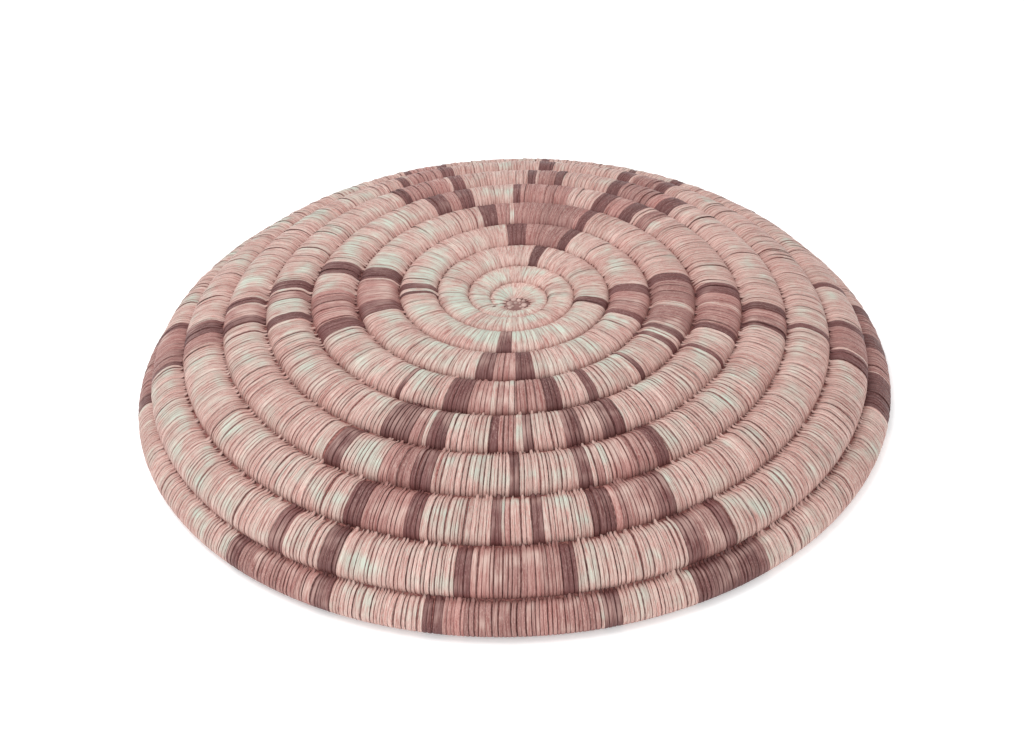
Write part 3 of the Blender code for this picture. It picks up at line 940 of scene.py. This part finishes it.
def floor_material(name):
    """White paper under the plaque. It glows a little, so that the shade on it stays faint."""
    material = bpy.data.materials.new(name)
    material.use_nodes = True
    surface = material.node_tree.nodes["Principled BSDF"]
    surface.inputs["Base Color"].default_value = (*FLOOR_COLOUR, 1)
    surface.inputs["Roughness"].default_value = FLOOR_ROUGHNESS
    surface.inputs["Emission Color"].default_value = (1, 1, 1, 1)
    surface.inputs["Emission Strength"].default_value = FLOOR_GLOW
    return material


# Folds of the knot: place across and back, half width, half depth, height of the top
KNOT_FOLDS = [
    (0.0013, -0.0032, 0.0080, 0.0074, 0.0008),
    (-0.0002, -0.0045, 0.0013, 0.0012, 0.0013),
    (0.0029, -0.0047, 0.0013, 0.0012, 0.0012),
    (-0.0015, -0.0028, 0.0017, 0.0020, 0.0016),
    (0.0042, -0.0035, 0.0017, 0.0019, 0.0016),
    (-0.0001, 0.0000, 0.0015, 0.0014, 0.0016),
    (0.0020, -0.0004, 0.0013, 0.0013, 0.0016),
    (0.0008, -0.0023, 0.0012, 0.0013, 0.0015),
    (0.0025, -0.0026, 0.0010, 0.0012, 0.0013),
    (-0.0013, -0.0055, 0.0015, 0.0013, 0.0013),
    (0.0008, -0.0058, 0.0008, 0.0007, 0.0010),
    (0.0040, -0.0061, 0.0014, 0.0013, 0.0013),
    (0.0039, -0.0007, 0.0013, 0.0013, 0.0014),
]
KNOT_HALF_HEIGHT = 0.0021
KNOT_SEGMENTS = 20
KNOT_RINGS = 14


def make_knot():
    """The folds of splint that start the coil."""
    mesh = bmesh.new()
    for across, back, half_width, half_depth, top in KNOT_FOLDS:
        made = bmesh.ops.create_uvsphere(mesh, u_segments=KNOT_SEGMENTS, v_segments=KNOT_RINGS, radius=1)
        bmesh.ops.scale(mesh, verts=made["verts"], vec=(half_width, half_depth, KNOT_HALF_HEIGHT))
        bmesh.ops.translate(mesh, verts=made["verts"], vec=(across, back, top - KNOT_HALF_HEIGHT))
    data = bpy.data.meshes.new("start_knot_folds")
    mesh.to_mesh(data)
    mesh.free()
    points = np.array([vertex.co for vertex in data.vertices]) @ dome.turn.T + dome.shift
    data.vertices.foreach_set("co", points.ravel())
    data.shade_smooth()
    return data


# Looks of the knot's folds and of the grass
MIDDLE_RAMP = (0.35, 0.65)
# Painted light: the folds' colour mixes a shaded and a lit copy in patches
FOLD_SHADES = (0.6, 0.85)
FOLD_PATCH_NOISE = (260.0, 1.0)
FOLD_FLECK_NOISE = (420.0, 2.0)
FOLD_FLECK_RAMP = (0.42, 0.68, 0.0, 0.25)
FOLD_DEPTHS = (0.0007, 0.0012)
FOLD_DEPTH_SHARE = 0.6
FOLD_ROUGHNESS = 0.6
GRASS_NOISE = (900.0, 2.0)
GRASS_ROUGHNESS = 0.8
FINE_BUMP = (0.5, 0.0003)


def fold_material(name):
    """Worn splint of the knot: pink folds in painted lit and shaded patches, with dark flecks, and painted
    shade in the depth between the folds.
    """
    shader = Shader(name)
    fleck = shader.noise(shader.place(), *FOLD_FLECK_NOISE)
    patch = shader.noise(shader.place(), *FOLD_PATCH_NOISE)
    shaded, lit = FOLD_SHADES[0] * NATURAL_TAN, FOLD_SHADES[1] * NATURAL_PINK
    colour = shader.mix(shader.ramp(patch, *MIDDLE_RAMP), shaded, lit)
    colour = shader.mix(shader.ramp(fleck, *FOLD_FLECK_RAMP), colour, LINE_COLOUR)
    height = shader.split(shader.place())[2]
    deep, level = (float(dome.shift[2]) + depth for depth in FOLD_DEPTHS)
    deep_shade_share = shader.ramp(height, deep, level, FOLD_DEPTH_SHARE, 0.0)
    # Painted shade, darkest low down between the folds
    colour = shader.mix(deep_shade_share, colour, KNOT_DEPTH_SHADE_COLOUR)
    shader.put(shader.surface.inputs["Base Color"], colour)
    shader.put(shader.surface.inputs["Roughness"], FOLD_ROUGHNESS)
    shader.bump(fleck, *FINE_BUMP)
    return shader.material


def grass_material(name):
    """Fine grass stems in a dark maroon, which stands partly for the painted shade they lie in between the
    stitches.
    """
    shader = Shader(name)
    stem = shader.noise(shader.place(), *GRASS_NOISE)
    colour = shader.mix(shader.ramp(stem, *MIDDLE_RAMP), GRASS_DARK, GRASS_LIGHT)
    shader.put(shader.surface.inputs["Base Color"], colour)
    shader.put(shader.surface.inputs["Roughness"], GRASS_ROUGHNESS)
    shader.bump(stem, *FINE_BUMP)
    return shader.material


splint = splint_material("splint")
for node_name, first, last in wrap_stretches():
    stitches = make_stitches(node_name, first, last)
    add_piece(node_name.replace("wrap", "stitches"), stitches, splint, node_name)
add_piece("grass_core", make_core(), grass_material("grass"), "grass_foundation")
add_piece("start_knot_folds", make_knot(), fold_material("knot"), "start_knot")


def make_camera():
    """The camera that took the photograph, from the grooves and the rim."""
    data = bpy.data.cameras.new("photo_camera")
    data.sensor_width = SENSOR_WIDTH
    data.lens = FOCAL_PIXELS / PHOTO_WIDTH * SENSOR_WIDTH
    data.clip_start = CLIP_START
    camera = bpy.data.objects.new("photo_camera", data)
    bpy.context.scene.collection.objects.link(camera)
    ahead = np.array([
        math.sin(CAMERA_YAW) * math.cos(CAMERA_PITCH),
        math.cos(CAMERA_YAW) * math.cos(CAMERA_PITCH),
        -math.sin(CAMERA_PITCH),
    ])
    right = np.array([math.cos(CAMERA_YAW), -math.sin(CAMERA_YAW), 0])
    up = np.cross(right, ahead)
    turned_right = math.cos(CAMERA_ROLL) * right + math.sin(CAMERA_ROLL) * up
    turned_up = -math.sin(CAMERA_ROLL) * right + math.cos(CAMERA_ROLL) * up
    matrix = np.eye(4)
    for column, part in enumerate((turned_right, turned_up, -ahead, CAMERA_PLACE)):
        matrix[:3, column] = part
    camera.matrix_world = Matrix(matrix.tolist())
    bpy.context.scene.camera = camera


def make_light(name, place, size, power):
    """A soft square light that looks at the plaque."""
    data = bpy.data.lights.new(name, "AREA")
    data.size = size
    data.energy = power
    light = bpy.data.objects.new(name, data)
    bpy.context.scene.collection.objects.link(light)
    light.location = place
    light.rotation_euler = (-Vector(place)).to_track_quat("-Z", "Y").to_euler()


def make_sky():
    """White light from all round."""
    world = bpy.data.worlds.new("studio")
    world.use_nodes = True
    background = world.node_tree.nodes["Background"]
    background.inputs["Color"].default_value = (1, 1, 1, 1)
    background.inputs["Strength"].default_value = SKY_STRENGTH
    bpy.context.scene.world = world


def make_floor():
    """The paper on which the plaque lies."""
    half = FLOOR_HALF_SIZE
    data = bpy.data.meshes.new("floor")
    corners = [(-half, -half, 0), (half, -half, 0), (half, half, 0), (-half, half, 0)]
    data.from_pydata(corners, [], [(0, 1, 2, 3)])
    data.materials.append(floor_material("floor"))
    floor = bpy.data.objects.new("floor", data)
    bpy.context.scene.collection.objects.link(floor)
    return floor


make_camera()
for light_name, place, size, power in LIGHTS:
    make_light(light_name, place, size, power)
make_sky()
bpy.context.scene.view_settings.view_transform = "Standard"
floor = make_floor()
